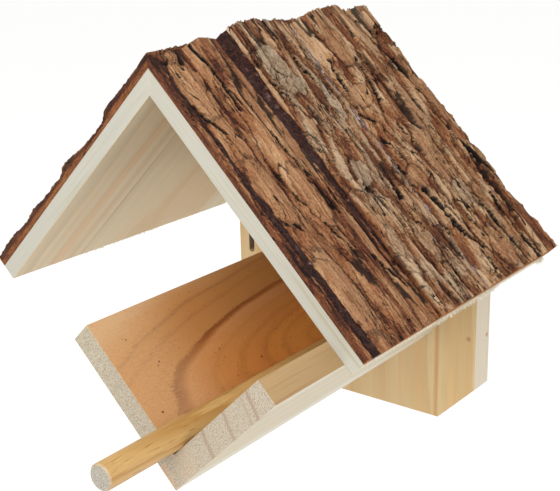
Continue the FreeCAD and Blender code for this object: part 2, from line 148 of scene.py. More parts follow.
def pineWood(name, look):
    # planed pine: pale early wood, darker late wood lines, fine fibres and a dull satin surface
    look = {**planedPine, **look}
    material, tree, shader = newMaterial(name)
    place = addNode(tree, "TexCoord")
    grain = addNode(tree, "Mapping", {
        "Vector": place.outputs["Object"], "Location": look["pith"],
        "Rotation": look["grain"], "Scale": (mm, mm, mm)}, vector_type="TEXTURE")
    spot = grain.outputs[0]
    if "joint" in look:  # two laths glued edge to edge, each with its own heart
        part = addNode(tree, "SeparateXYZ", {0: place.outputs["Object"]})
        behind = addNode(tree, "Math", {0: part.outputs["Y"], 1: look["joint"]},
                         operation="GREATER_THAN")
        jump = addNode(tree, "VectorMath", {
            0: look["jump"], "Scale": behind.outputs[0]}, operation="SCALE")
        spot = addNode(tree, "VectorMath", {
            0: spot, 1: jump.outputs[0]}, operation="ADD").outputs[0]
    # the rings bend slowly
    bend = grainNoise(tree, spot, *look["bendSize"], 2.0, 0.45)
    shift = addNode(tree, "VectorMath", {
        0: bend.outputs["Color"], 1: (0.5, 0.5, 0.5)}, operation="SUBTRACT")
    bent = addNode(tree, "VectorMath", {
        0: shift.outputs[0], 1: (0.0, look["bend"], look["bend"]), 2: spot},
        operation="MULTIPLY_ADD")
    flat = addNode(tree, "VectorMath", {
        0: bent.outputs[0], 1: (0.0, 1.0, 1.0)}, operation="MULTIPLY")
    straight = addNode(tree, "VectorMath", {0: flat.outputs[0]}, operation="LENGTH")
    # the fibres also feather the rings' edges
    fibre = grainNoise(tree, spot, *look["fibreSize"], 3.0, 0.6)
    radius = addNode(tree, "Math", {
        0: fibre.outputs["Fac"], 1: look["feather"], 2: straight.outputs["Value"]},
        operation="MULTIPLY_ADD")
    if "bands" in look:  # chosen rings, by their distance from the heart
        reach = look["bands"][-1][0]
        share = addNode(tree, "Math", {0: radius.outputs[0], 1: reach},
                        operation="DIVIDE")
        rings = addNode(tree, "ValToRGB", {0: share.outputs[0]},
                        stops=[(at / reach, colour) for at, colour in look["bands"]])
    else:
        turns = addNode(tree, "Math", {
            0: radius.outputs[0], 1: look["ring"]}, operation="DIVIDE")
        share = addNode(tree, "Math", {0: turns.outputs[0], 1: 1.0},
                        operation="FRACT")
        rings = addNode(tree, "ValToRGB", {0: share.outputs[0]}, stops=[
            (0.0, look["early"]), (0.55, look["early"]), (0.86, look["late"]),
            (0.95, look["late"]), (1.0, look["early"])])
    # broad tints that run with the grain
    tint = grainNoise(tree, spot, *look["tintSize"], 3.0, 0.55, (3.1, 1.7, 0.4))
    tintShare = addNode(tree, "MapRange", {
        "Value": tint.outputs["Fac"], "From Min": 0.42, "From Max": 0.68,
        "To Max": look["tintShare"]})
    tinted = addNode(tree, "Mix", {
        "Factor": tintShare.outputs[0], 6: rings.outputs["Color"],
        7: linear(look["tint"])}, data_type="RGBA")
    fibreTone = addNode(tree, "MapRange", {
        "Value": fibre.outputs["Fac"], "From Min": 0.3, "From Max": 0.7,
        "To Min": 1.0 - look["fibre"], "To Max": 1.0 + look["fibre"] * 0.5})
    fibred = addNode(tree, "Mix", {
        "Factor": 1.0, 6: tinted.outputs[2], 7: fibreTone.outputs[0]},
        data_type="RGBA", blend_type="MULTIPLY")
    colour = fibred.outputs[2]
    if "flecks" in look:  # resin pits or short dark fibres: long x wide in mm, and how rare
        long, wide, rare, shade = look["flecks"]
        fleck = grainNoise(tree, spot, long, wide, 1.0, 0.5, (5.2, 0.9, 2.6))
        fleckShare = addNode(tree, "MapRange", {
            "Value": fleck.outputs["Fac"], "From Min": rare, "From Max": rare + 0.04,
            "To Min": 0.8, "To Max": 0.0})
        colour = addNode(tree, "Mix", {
            "Factor": fleckShare.outputs[0], 6: colour, 7: linear(shade)},
            data_type="RGBA").outputs[2]
    # sawn ends: greyer, with the pores as dots
    axis = look["grain"].to_matrix() @ Vector((1, 0, 0))
    facing = addNode(tree, "NewGeometry")
    along = addNode(tree, "VectorMath", {
        0: facing.outputs["Normal"], 1: axis}, operation="DOT_PRODUCT")
    turned = addNode(tree, "Math", {0: along.outputs["Value"]}, operation="ABSOLUTE")
    end = addNode(tree, "MapRange", {
        "Value": turned.outputs[0], "From Min": look["endFrom"], "From Max": 0.92})
    pores = grainNoise(tree, spot, *look["poreSize"], 2.0, 0.7)
    poreTone = addNode(tree, "ValToRGB", {0: pores.outputs["Fac"]}, stops=[
        (0.34, look["pore"]), (0.46, look["end"]), (0.66, look["endLight"])])
    ringLuma = addNode(tree, "Mix", {
        "Factor": look["endRings"], 6: poreTone.outputs["Color"],
        7: rings.outputs["Color"]}, data_type="RGBA", blend_type="MULTIPLY")
    ended = addNode(tree, "Mix", {
        "Factor": end.outputs[0], 6: colour, 7: ringLuma.outputs[2]}, data_type="RGBA")
    # streaks and bands at chosen places: axis across the grain, place, half width, colour, share
    dressed = ended.outputs[2]
    if "streaks" in look:
        board = addNode(tree, "Mapping", {
            "Vector": place.outputs["Object"], "Location": look["streakFrom"],
            "Rotation": look["streakTurn"], "Scale": (mm, mm, mm)}, vector_type="TEXTURE")
        wavy = addNode(tree, "VectorMath", {
            0: shift.outputs[0], 1: (0.0, look["wave"], look["wave"]),
            2: board.outputs[0]}, operation="MULTIPLY_ADD")
        axes = addNode(tree, "SeparateXYZ", {0: wavy.outputs[0]})
        worn = addNode(tree, "MapRange", {
            "Value": fibre.outputs["Fac"], "From Min": 0.25, "From Max": 0.6, "To Min": 0.45})
        there = addNode(tree, "MapRange", {  # on the faces, and on the sawn ends
            "Value": end.outputs[0], "To Min": look["streakOn"][0], "To Max": look["streakOn"][1]})
        for axisName, at, half, shade, share in look["streaks"]:
            offset = addNode(tree, "Math", {0: axes.outputs[axisName], 1: at},
                             operation="SUBTRACT")
            gap = addNode(tree, "Math", {0: offset.outputs[0]}, operation="ABSOLUTE")
            near = addNode(tree, "MapRange", {
                "Value": gap.outputs[0], "From Min": half * 0.2, "From Max": half,
                "To Min": share, "To Max": 0.0}, interpolation_type="SMOOTHSTEP")
            strength = addNode(tree, "Math", {
                0: near.outputs[0], 1: worn.outputs[0]}, operation="MULTIPLY")
            strength = addNode(tree, "Math", {
                0: strength.outputs[0], 1: there.outputs[0]}, operation="MULTIPLY")
            dressed = addNode(tree, "Mix", {
                "Factor": strength.outputs[0], 6: dressed, 7: linear(shade)},
                data_type="RGBA").outputs[2]
    if "edge" in look:  # a narrow face across the grain's flat side, with its own finer lines
        axis, shade, line, share = look["edge"]
        over = addNode(tree, "VectorMath", {
            0: facing.outputs["Normal"], 1: axis}, operation="DOT_PRODUCT")
        faced = addNode(tree, "Math", {0: over.outputs["Value"]}, operation="ABSOLUTE")
        mask = addNode(tree, "MapRange", {
            "Value": faced.outputs[0], "From Min": 0.8, "From Max": 0.95, "To Max": share})
        drawn = grainNoise(tree, spot, *look["edgeSize"], 3.0, 0.6, (0.7, 2.3, 5.1))
        edgeTone = addNode(tree, "ValToRGB", {0: drawn.outputs["Fac"]}, stops=[
            (0.28, line), (0.42, shade), (1.0, shade)])
        fine = addNode(tree, "Mix", {
            "Factor": 1.0, 6: edgeTone.outputs["Color"], 7: fibreTone.outputs[0]},
            data_type="RGBA", blend_type="MULTIPLY")
        dressed = addNode(tree, "Mix", {
            "Factor": mask.outputs[0], 6: dressed, 7: fine.outputs[2]},
            data_type="RGBA").outputs[2]
        if "slotWall" in look:  # inside the slots the walls are painted dark, as painted shade
            within, slotShade = look["slotWall"]
            sides = addNode(tree, "SeparateXYZ", {0: place.outputs["Object"]})
            across = addNode(tree, "Math", {0: sides.outputs["X"]}, operation="ABSOLUTE")
            inside = addNode(tree, "Math", {0: across.outputs[0], 1: within},
                             operation="LESS_THAN")
            wall = addNode(tree, "Math", {0: mask.outputs[0], 1: inside.outputs[0]},
                           operation="MULTIPLY")
            dressed = addNode(tree, "Mix", {
                "Factor": wall.outputs[0], 6: dressed, 7: linear(slotShade)},
                data_type="RGBA").outputs[2]
    # resin dots and pin knots
    for centre, width, shade in look["knots"]:
        gap = addNode(tree, "VectorMath", {
            0: place.outputs["Object"], 1: centre}, operation="DISTANCE")
        mask = addNode(tree, "MapRange", {
            "Value": gap.outputs["Value"], "From Min": width * mm * 0.3, "From Max": width * mm,
            "To Min": 1.0, "To Max": 0.0}, interpolation_type="SMOOTHSTEP")
        dressed = addNode(tree, "Mix", {
            "Factor": mask.outputs[0], 6: dressed, 7: linear(shade)},
            data_type="RGBA").outputs[2]
    # relief: fibres on the faces, pores on the ends
    lift = addNode(tree, "Mix", {
        "Factor": end.outputs[0], 2: fibre.outputs["Fac"], 3: pores.outputs["Fac"]})
    bump = addNode(tree, "Bump", {
        "Height": lift.outputs[0], "Strength": look["relief"],
        "Distance": look["reliefDeep"] * mm})
    rough = addNode(tree, "MapRange", {
        "Value": fibre.outputs["Fac"], "To Min": look["rough"] - 0.06,
        "To Max": look["rough"] + 0.1})
    wire(tree, shader, {
        "Base Color": dressed, "Roughness": rough.outputs[0], "IOR": 1.5,
        "Normal": bump.outputs[0], "Specular IOR Level": look["gloss"]})
    return material


def dress(name, material):
    node = cadNodes[name]
    node.data.materials.clear()
    node.data.materials.append(material)
    return node


def easeEdges(node, width):
    # the planed boards' edges are just broken with sandpaper
    weld = node.modifiers.new("weld", "WELD")
    weld.merge_threshold = 0.00001
    flat = node.modifiers.new("wholeFaces", "DECIMATE")
    flat.decimate_type = "DISSOLVE"
    flat.angle_limit = math.radians(1)
    bevel = node.modifiers.new("easedEdges", "BEVEL")
    bevel.width = width * mm
    bevel.segments = 2
    bevel.limit_method = "ANGLE"
    bevel.angle_limit = math.radians(60)
    bevel.harden_normals = True


print("boards")

slopeBoard = {"early": "#beb296", "late": "#b6a585", "tint": "#b7966e", "end": "#cdc3af",
              "endLight": "#dad3c3", "pore": "#ab9e88", "ring": 17,
              "edge": ((0, 1, 0), "#9c9a90", "#918c77", 0.9)}
boards = {
    "roof_board_left": dict(
        slopeBoard, grain=grainFrame(-1, tilt=1.2), pith=onSlope(-1, 60, -120, -30),
        joint=-0.145, jump=(0.0, -230.0, 65.0),
        streakFrom=onSlope(-1, 0, 0, 0), streakTurn=grainFrame(-1), wave=3,
        streaks=[("Y", 33, 7, "#bb8d5f", 0.55), ("Y", 8, 5, "#a39a88", 0.35),
                 ("Y", 20, 4, "#b59a78", 0.25), ("Y", 55, 0.7, "#8d7658", 0.8),
                 ("Y", 45, 6, "#b29372", 0.25), ("Y", 130, 78, "#b99d72", 0.5)]),
    "roof_board_right": dict(
        slopeBoard, grain=grainFrame(1, tilt=-1.0),
        pith=onSlope(1, 60, -90, -40), joint=-0.130, jump=(0.0, -190.0, 60.0),
        streakFrom=onSlope(1, 0, 0, 0), streakTurn=grainFrame(1), wave=3,
        streaks=[("Y", 70, 0.7, "#8d7658", 0.8), ("Y", 40, 8, "#bb9468", 0.4),
                 ("Y", 120, 14, "#bb9468", 0.4)]),
    "cradle_side": {
        "grain": grainFrame(1, turn=90, tilt=0.6), "pith": onSlope(1, 330, 60, -50),
        "ring": 26, "early": "#c3beae", "late": "#b9ad95", "tint": "#c1af91", "tintShare": 0.3,
        "end": "#978b79", "endLight": "#a59d8d", "pore": "#766853", "bend": 5, "fibre": 0.06,
        "endRings": 0.1, "streakFrom": onSlope(1, 167, 0, 0),
        "streakTurn": grainFrame(1, turn=90, roll=16), "wave": 1.5, "streakOn": (0.3, 1.0),
        "edge": ((0.7071, 0, 0.7071), "#967545", "#8a5a28", 0.9),
        "streaks": [("Z", -20, 1.7, "#7f6653", 0.7), ("Z", -25, 1.3, "#85705e", 0.5),
                    ("Z", -40, 1.8, "#7f6653", 0.65), ("Z", -58.5, 2.0, "#7f6653", 0.65),
                    ("Z", -80, 12, "#a58d72", 0.4), ("Z", -97, 8, "#b98552", 0.4)]},
    "cradle_floor": {
        "grain": grainFrame(1, turn=90, tilt=15.4), "pith": onSlope(1, 145, 115, -87),
        "bands": [(0, "#d78e42"), (9, "#cc833c"), (9.8, "#c27936"), (12, "#cd853d"),
                  (15.5, "#c57d38"), (16.3, "#b77133"), (18, "#c57d39"), (20.4, "#bc7636"),
                  (21.2, "#ab682f"), (23, "#b97337"), (25.2, "#b77338"), (26, "#a96b32"),
                  (28, "#b6753d"), (31.2, "#b3753e"), (32, "#ac7039"), (33.5, "#b47845"),
                  (37.6, "#b77d4c"), (39.4, "#84481e"), (40.6, "#743a15"), (41.5, "#a8723e"),
                  (49.3, "#a8723e"), (50.2, "#99663a"), (51.8, "#a8723e"), (55.4, "#a8733f"),
                  (56.3, "#8f623a"), (57.8, "#ac7744"), (63, "#b18357"), (68, "#bb9a74"),
                  (90, "#bd9d77")],
        "tint": "#ab7032", "tintShare": 0.35, "end": "#9b9380", "endLight": "#aba695",
        "pore": "#7a6d58", "bend": 4.5, "fibre": 0.10, "gloss": 0.4, "rough": 0.5, "feather": 2.2,
        "endRings": 0.25, "flecks": (1.7, 1.0, 0.26, "#6a3a1c"),
        "streakFrom": onSlope(1, 145, 0, -87), "streakTurn": grainFrame(1, turn=90),
        "wave": 8, "streakOn": (1.0, 0.0),
        # painted light and shade: the Y band darkens the floor to orange as painted shade from the
        # roof, the X band is painted light, paler towards the front end
        "streaks": [("Y", 46, 30, "#9a6230", 0.25), ("X", -50, 64, "#cfab80", 0.36)],
        "knots": [(onSlope(1, down, back, -87), width, "#5a3018") for down, back, width in (
            (127.4, 13.4, 0.7), (142.2, 36.6, 1.0), (143.5, -44.5, 1.0), (155.6, -14.7, 0.6),
            (119.3, -27.6, 0.8), (121.0, -29.5, 0.6), (101.5, -38.0, 0.7))]},
    "back_board": {
        "grain": (Matrix.Rotation(math.radians(-90), 3, "Y")
                  @ Matrix.Rotation(math.radians(1.0), 3, "Z")).to_euler("XYZ"),
        "pith": (0.030, 0.060, -0.02), "ring": 17, "early": "#b9a177", "late": "#b39668",
        # the slots' walls get a dark painted shade colour
        "edge": ((1, 0, 0), "#cbc2b1", "#beb39b", 0.8), "slotWall": (0.0885, "#5e3f2b"),
        "tint": "#af8a56", "end": "#cdbd9b", "endLight": "#dccfb4",
        "pore": "#a38c66", "bend": 8, "fibre": 0.07, "wave": 3,
        "streakFrom": (0.0, 0.0, 0.0),
        "streakTurn": Matrix.Rotation(math.radians(-90), 3, "Y").to_euler("XYZ"),
        "streaks": [("Z", -67, 2.4, "#a87840", 0.8), ("Z", -54, 4, "#bd9664", 0.35),
                    ("Z", -78, 5, "#c2a070", 0.3), ("Z", -40, 3, "#b98f5a", 0.35),
                    ("Z", 20, 6, "#b98f5a", 0.4), ("Z", 60, 5, "#b98f5a", 0.4)],
        "knots": [((0.090, -0.018, -0.0464), 2.2, "#a0714a"),
                  ((0.095, -0.0031, -0.0469), 2.2, "#a9805a")]},
    "perch": {
        "grain": grainFrame(1, turn=90, tilt=2.0), "pith": onSlope(1, 166, 0, -98),
        "ring": 4.4, "early": "#b9935b", "late": "#a67c42", "tint": "#ae7c40", "tintShare": 0.6,
        "end": "#96958a", "endLight": "#a6a8a0", "pore": "#726d61", "bend": 3, "fibre": 0.2,
        "gloss": 0.45, "rough": 0.45, "relief": 0.35, "endFrom": 0.5,
        "flecks": (13, 0.6, 0.28, "#7d4f24")},
}

for boardName, look in boards.items():
    board = dress(boardName, pineWood("pine_" + boardName, look))
    if boardName != "perch":
        easeEdges(board, 0.35)


# ---- fasteners

def zincSteel(name, colour, rough):
    # zinc-plated steel: a soft metallic shine with faint draw marks
    material, tree, shader = newMaterial(name)
    place = addNode(tree, "TexCoord")
    marks = addNode(tree, "TexNoise", {
        "Vector": place.outputs["Object"], "Scale": 900.0, "Detail": 2.0})
    tone = addNode(tree, "MapRange", {
        "Value": marks.outputs["Fac"], "To Min": rough - 0.08, "To Max": rough + 0.12})
    wire(tree, shader, {
        "Base Color": linear(colour), "Roughness": tone.outputs[0], "Metallic": 1.0})
    return material


print("fasteners")
fasteners = {  # colour, roughness and the nodes
    "zincSteelBrads": ("#c4c4c0", 0.38, (
        "ridge_brads", "roof_brads_left", "roof_brads_right", "cradle_brads")),
    "zincSteelScrews": ("#c9b37a", 0.34, ("side_screws", "floor_screws"))}
for metalName, (colour, rough, nodeNames) in fasteners.items():
    zinc = zincSteel(metalName, colour, rough)
    for nodeName in nodeNames:
        dress(nodeName, zinc)


# ---- bark

def barkMaterial(name, side, look):
    # dry conifer bark: thin plates, matt tan or grey where they weathered and red-brown where
    # they broke off, almost black in the splits between them
    material, tree, shader = newMaterial(name)
    place = addNode(tree, "TexCoord")
    slope = addNode(tree, "Mapping", {
        "Vector": place.outputs["Object"], "Location": onSlope(side, 0, 0, 0),
        "Rotation": grainFrame(side), "Scale": (mm, mm, mm)}, vector_type="TEXTURE")
    marks = addNode(tree, "Attribute", attribute_name="barkMarks")
    part = addNode(tree, "SeparateColor", {0: marks.outputs["Color"]})

    spot = slope.outputs[0]
    patterns = {}
    for patternName, shape in look["patterns"].items():
        patterns[patternName] = grainNoise(tree, spot, *shape)
        if patternName == "bend":  # the patterns after it follow the wandering fibres
            centred = addNode(tree, "VectorMath", {
                0: patterns["bend"].outputs["Color"], 1: (0.5, 0.5, 0.5)}, operation="SUBTRACT")
            spot = addNode(tree, "VectorMath", {
                0: centred.outputs[0], 1: (8.0, 5.0, 3.0), 2: spot},
                operation="MULTIPLY_ADD").outputs[0]

    # small scales, each ending in a broken edge with a painted shadow line under it
    scales = patterns["scales"].outputs["Fac"]
    steps = addNode(tree, "ValToRGB", {0: scales}, stops=[
        (0.0, 0.0), (0.42, 0.05), (0.428, 0.45), (0.50, 0.5), (0.508, 0.75), (0.57, 0.8),
        (0.578, 1.0), (1.0, 1.0)])
    edgeShadows = addNode(tree, "ValToRGB", {0: scales}, stops=[
        (0.400, 1.0), (0.420, 0.45), (0.428, 1.0), (0.485, 1.0), (0.500, 0.55), (0.506, 1.0),
        (0.556, 1.0), (0.570, 0.6), (0.577, 1.0)])
    # splits that run with the fibres, wide in some places and closed in others
    offset = addNode(tree, "Math", {0: patterns["splits"].outputs["Fac"], 1: 0.5},
                     operation="SUBTRACT")
    gap = addNode(tree, "Math", {0: offset.outputs[0]}, operation="ABSOLUTE")
    width = addNode(tree, "MapRange", {
        "Value": patterns["places"].outputs["Fac"], "From Min": 0.42, "From Max": 0.6,
        "To Min": 0.0005, "To Max": 0.014})
    opened = addNode(tree, "Math", {0: gap.outputs[0], 1: width.outputs[0]},
                     operation="DIVIDE")
    closed = addNode(tree, "MapRange", {
        "Value": opened.outputs[0], "From Min": 0.35, "From Max": 1.0},
        interpolation_type="SMOOTHSTEP")
    whole = addNode(tree, "Math", {0: closed.outputs[0], 1: part.outputs[1]},
                    operation="MULTIPLY")

    # tone: the plate's own shade, and what each pattern adds to it
    tone = part.outputs[0]
    for source, share in ((steps.outputs["Color"], look["layers"]),
                          (patterns["broad"].outputs["Fac"], look["broad"]),
                          (patterns["fibre"].outputs["Fac"], look["fibre"]),
                          (patterns["grit"].outputs["Fac"], look["grit"])):
        tone = addNode(tree, "Math", {0: source, 1: share, 2: tone},
                       operation="MULTIPLY_ADD").outputs[0]
    spread = addNode(tree, "MapRange", {
        "Value": tone, "From Min": look["from"], "From Max": look["to"]})
    colours = addNode(tree, "ValToRGB", {0: spread.outputs[0]}, stops=[
        (0.0, look["deep"]), (0.2, look["red"]), (0.42, look["brown"]), (0.62, look["tan"]),
        (0.82, look["pale"]), (1.0, look["dust"])])
    greyTone = addNode(tree, "ValToRGB", {0: spread.outputs[0]}, stops=[
        (0.2, look["greyDark"]), (0.6, look["grey"]), (0.9, look["greyPale"])])
    mossy = addNode(tree, "Mix", {
        "Factor": part.outputs[2], 6: colours.outputs["Color"], 7: greyTone.outputs["Color"]},
        data_type="RGBA")
    edgeShadowed = addNode(tree, "Mix", {
        "Factor": 1.0, 6: mossy.outputs[2], 7: edgeShadows.outputs["Color"]},
        data_type="RGBA", blend_type="MULTIPLY")
    # painted shade: near black in the splits and wherever the marks' openness is low
    cracked = addNode(tree, "Mix", {
        "Factor": whole.outputs[0], 6: linear(look["crack"]), 7: edgeShadowed.outputs[2]},
        data_type="RGBA")
    # the saw left the cut edges fresh and orange-brown
    sawTone = addNode(tree, "ValToRGB", {0: patterns["grit"].outputs["Fac"]}, stops=[
        (0.3, look["sawnDark"]), (0.7, look["sawn"])])
    sawn = addNode(tree, "Mix", {
        "Factor": marks.outputs["Alpha"], 6: cracked.outputs[2], 7: sawTone.outputs["Color"]},
        data_type="RGBA")

    # relief in mm: scales, fibres and grit, with the splits cut in
    relief = closed.outputs[0]
    for source, rise in ((steps.outputs["Color"], 0.8), (patterns["fibre"].outputs["Fac"], 0.9),
                         (patterns["grit"].outputs["Fac"], 0.7)):
        relief = addNode(tree, "Math", {0: source, 1: rise, 2: relief},
                         operation="MULTIPLY_ADD").outputs[0]
    bump = addNode(tree, "Bump", {"Height": relief, "Strength": 0.9, "Distance": mm})
    wire(tree, shader, {
        "Base Color": sawn.outputs[2], "Roughness": 0.85, "IOR": 1.45,
        "Normal": bump.outputs[0], "Specular IOR Level": 0.25})
    return material


# seams between the strips, about as in the model: shares of the roof's depth at the ridge, half
# way down and at the eave, and the seam's width at the same three places
barkRoof = {
    "stepDown": 0.7, "stepAcross": 0.5, "wallCuts": 4, "overhang": 4.0, "thinnest": 1.2,
    "ridgeZone": 7, "shoulder": 1.2, "waver": 0.8, "fray": 0.35, "rearWaver": 1.6,
    "seams": {
        1: [((0.024, 0.028, 0.036), (3.2, 5.0, 7.5)), ((0.2875, 0.3075, 0.335), (9, 4, 1.6)),
            ((0.590, 0.588, 0.5915), (1.6, 1.6, 1.6)), ((0.8875, 0.945, 0.915), (1.5, 3, 2))],
        -1: [((0.20, 0.22, 0.21), (1.6, 2.4, 2)), ((0.41, 0.39, 0.40), (2, 1.6, 2.2)),
             ((0.64, 0.66, 0.65), (1.6, 1.6, 3)), ((0.83, 0.82, 0.84), (2, 3, 1.6))]},
}

# each strip: its thickness at the ridge, from the roof's front edge back, and how much of it is
# left half way down and at the eave; its flakes, long x wide in mm, and how much more of them is
# left than bare ground; its fissures' depth, its shade and greyness, and how rough it is
barkStrips = {
    "bark_right_1": {
        "rise": [(0, 4.6), (5, 4.6)], "left": (0.9, 1.0), "scales": (30, 4), "cover": 0,
        "crack": 0.5, "tone": 0.30, "grey": 0.0, "rough": 0.5},
    "bark_right_2": {
        "rise": [(8, 3.4), (17, 5.2), (26, 4.6), (33, 6.4), (39, 7.6), (47, 7.0), (54, 6.0)],
        "left": (0.95, 0.9), "scales": (44, 7.5), "cover": 0.28,
        "crack": 1.0, "tone": 0.31, "grey": 0.05, "rough": 0.4},
    "bark_right_3": {
        "rise": [(62, 9.6), (72, 11.2), (86, 11.2), (93, 10.4), (100, 9.5), (107, 8.3),
                 (117, 7.3)],
        "left": (0.85, 0.8), "scales": (27, 5.2), "cover": 0.05,
        "crack": 2.4, "tone": 0.51, "grey": 0.5, "rough": 1},
    "bark_right_4": {
        "rise": [(119, 6.3), (124, 7.3), (130, 9.0), (146, 10.6), (156, 11.3), (167, 10.9),
                 (173, 8.6), (190, 9.0)],
        "left": (0.9, 0.85), "scales": (25, 5.8), "cover": 0.05,
        "crack": 2.6, "tone": 0.61, "grey": 0.2, "rough": 1},
    "bark_right_5": {
        "rise": [(178, 8.6), (188, 9.0), (204, 8.6)], "left": (0.95, 0.95), "scales": (28, 5.5),
        "cover": 0.04, "crack": 2.2, "tone": 0.64, "grey": 0.15, "rough": 0.9},
    "bark_left_1": {
        "rise": [(0, 5.4), (20, 6.0), (44, 6.2)], "left": (1.0, 1.1), "scales": (24, 4),
        "cover": 0, "crack": 1.8, "tone": 0.42, "grey": 0.1, "rough": 1.0},
    "bark_left_2": {
        "rise": [(40, 5.6), (60, 6.6), (82, 6.0)], "left": (1.0, 0.9), "scales": (26, 4.5),
        "cover": 0.04, "crack": 2.0, "tone": 0.6, "grey": 0.3, "rough": 0.9},
    "bark_left_3": {
        "rise": [(82, 7.5), (105, 9.6), (128, 8.0)], "left": (0.85, 0.75), "scales": (24, 4.2),
        "cover": 0.02, "crack": 2.4, "tone": 0.6, "grey": 0.5, "rough": 1},
    "bark_left_4": {
        "rise": [(128, 8.0), (146, 9.2), (166, 8.4)], "left": (0.9, 0.9), "scales": (22, 4.4),
        "cover": 0.02, "crack": 2.4, "tone": 0.58, "grey": 0.35, "rough": 1},
    "bark_left_5": {
        "rise": [(166, 7.4), (184, 7.6), (204, 7.0)], "left": (0.95, 0.95), "scales": (24, 4),
        "cover": 0, "crack": 2.0, "tone": 0.5, "grey": 0.25, "rough": 0.9},
}

# the roof's front edge on the left slope, where the bark's sawn edge shows its thickness
leftEdgeRise = [(0, 5.3), (30, 5.8), (36, 6.5), (42, 6.5), (47, 3.2), (63, 3.2), (69, 3.7),
                (76, 5.2), (82, 6.1), (89, 7.1), (94, 6.6), (97, 5.0), (101, 3.9), (108, 4.8),
                (120, 4.8), (127, 5.8), (134, 6.8), (144, 5.1), (151, 5.6), (160, 7.1),
                (179, 7.1), (185, 6.4)]

# long open cracks on the right slope: their (down, back) corners, half width and depth
openCracks = [
    ([(2, 5), (5, 17)], 0.6, 3.5), ([(5, 15), (5, 17.5)], 1.4, 5.0),
    ([(0, 31), (14, 34), (40, 33)], 0.8, 2.2), ([(22, 6), (38, 8), (50, 15)], 0.6, 2.0),
    ([(58, 41), (80, 44), (98, 46), (112, 48)], 0.8, 4.5), ([(100, 53), (122, 58)], 0.6, 2.5),
    ([(70, 27), (92, 28), (118, 34), (140, 40)], 0.5, 1.8), ([(140, 50), (162, 58)], 0.7, 2.5),
    ([(104, 12), (112, 17)], 0.8, 1.4), ([(128, 12), (133, 19)], 0.4, 1.0),
    ([(6, 67), (20, 65), (36, 67), (58, 72)], 0.5, 3.0), ([(-4, 92), (12, 95)], 0.9, 3.0),
    ([(70, 98), (100, 99)], 0.6, 2.5), ([(108, 101), (117, 101)], 1.6, 4.5),
    ([(148, 98), (165, 98), (185, 100)], 1.1, 5.0), ([(18, 98), (34, 100)], 0.6, 2.5),
    ([(20, 93), (60, 92), (110, 97), (140, 100)], 0.4, 1.8),
    ([(8, 129), (18, 133)], 0.8, 3.0), ([(24, 126), (45, 124), (60, 121), (70, 128)], 0.8, 3.5),
    ([(28, 148), (40, 146), (54, 143), (66, 139)], 0.8, 3.5), ([(80, 125), (98, 128)], 0.7, 2.5),
    ([(100, 121), (113, 122)], 1.1, 4.0),
    ([(119, 125), (140, 128), (155, 131), (163, 136)], 1.2, 5.0),
    ([(146, 136), (150, 136.5)], 1.2, 4.0), ([(76, 142), (96, 144)], 0.6, 2.5),
    ([(133, 143), (140, 148)], 0.4, 1.2), ([(80, 165), (96, 168), (120, 172)], 0.7, 3.0),
    ([(124, 161), (142, 160), (160, 161), (177, 163)], 1.1, 4.5),
    ([(164, 132), (184, 134)], 0.6, 2.5),
    ([(34, 186), (60, 187), (90, 187), (112, 194), (140, 200)], 1.2, 3.5),
    ([(138, 179), (160, 178), (185, 179)], 1.3, 4.0),
    ([(12, 184), (16, 188), (12, 193)], 1.6, 2.5),
]

# bark scales on the right slope: middle (down, back), half length and width, lift, shade, greyness
barkPlates = [
    ((24, 77), (18, 9), 1.0, 0.80, 0.75), ((36, 84), (7, 4), 0.6, 0.66, 0.9),
    ((50, 104), (14, 4), 0.9, 0.84, 0.7), ((91, 70), (7, 2.6), 0.8, 0.84, 0.5),
    ((96, 83), (9, 5), 0.8, 0.74, 0.7), ((105, 76), (6, 2), 0.8, 0.86, 0.6),
    ((146, 70), (17, 4), 0.9, 0.78, 0.5), ((147, 92), (13, 4.5), 0.8, 0.74, 0.35),
    ((160, 107), (11, 2.4), 0.8, 0.80, 0.4), ((14, 95), (9, 2.2), 0.8, 0.76, 0.2),
    ((52, 130), (8, 8), 0.9, 0.72, 0.1), ((108, 152), (28, 8), 0.7, 0.70, 0.15),
    ((130, 152), (9, 6), 0.9, 0.76, 0.5), ((16, 141), (16, 6), 1.0, 0.66, 0.1),
    ((150, 168), (24, 5), 0.9, 0.68, 0.1), ((66, 168), (22, 5), 0.8, 0.70, 0.25),
    ((110, 128), (8, 6), 0.9, 0.72, 0.1), ((60, 193), (26, 3.5), 0.7, 0.66, 0.1),
    ((20, 15), (20, 9), 0.5, 0.70, 0.05), ((88, 15), (22, 8), 0.4, 0.66, 0.05),
    ((98, 37), (20, 6), 0.8, 0.64, 0.05), ((150, 16), (26, 8), 0.6, 0.68, 0.1),
    ((40, 62), (24, 2.4), 0.6, 0.74, 0.2), ((168, 150), (14, 7), 0.6, 0.66, 0.1),
    # beads of dried sap, then a knot by the ridge: its hollow and its pale heart
    ((60, 76), (2.2, 1.2), 0.2, 1.3, 0.5), ((74, 77), (2.6, 1.4), 0.2, 1.25, 0.7),
    ((116.5, 87), (2.4, 1.3), 0.3, 1.35, 0.0), ((10, 192), (11, 6), -0.3, 0.42, 0.0),
    ((17, 196), (9, 4.5), -1.6, 0.2, 0.0), ((6, 191), (4.2, 2.2), 0.7, 1.35, 0.0),
]

# noise under the bark's relief: its length down the slope and width across it in mm, a number that
# keeps it apart from the others, and the share of the fibres' drift that it follows
barkNoise = {
    "torn": (4.5, 2.4, 2, 0), "fine": (1.8, 1.1, 4, 0), "places": (30, 11, 3, 0),
    "longSplit": (105, 7, 40, 1), "shortSplit": (34, 5, 44, -1), "rib": (14, 1.1, 31, 0.5),
    "slab": (34, 10, 60, 1), "own": (18, 5, 81, 1), "grey": (24, 9, 51, 0)}

# relief in mm, and what each of the three layers of flakes adds: where it ends, and its shade
barkForm = {"layerRims": (-0.16, 0.06, 0.30), "layerShades": (0.24, 0.22, 0.16),
            "layer": 0.62, "slab": 1.3, "rib": 0.32, "fine": 0.12, "drift": 6}


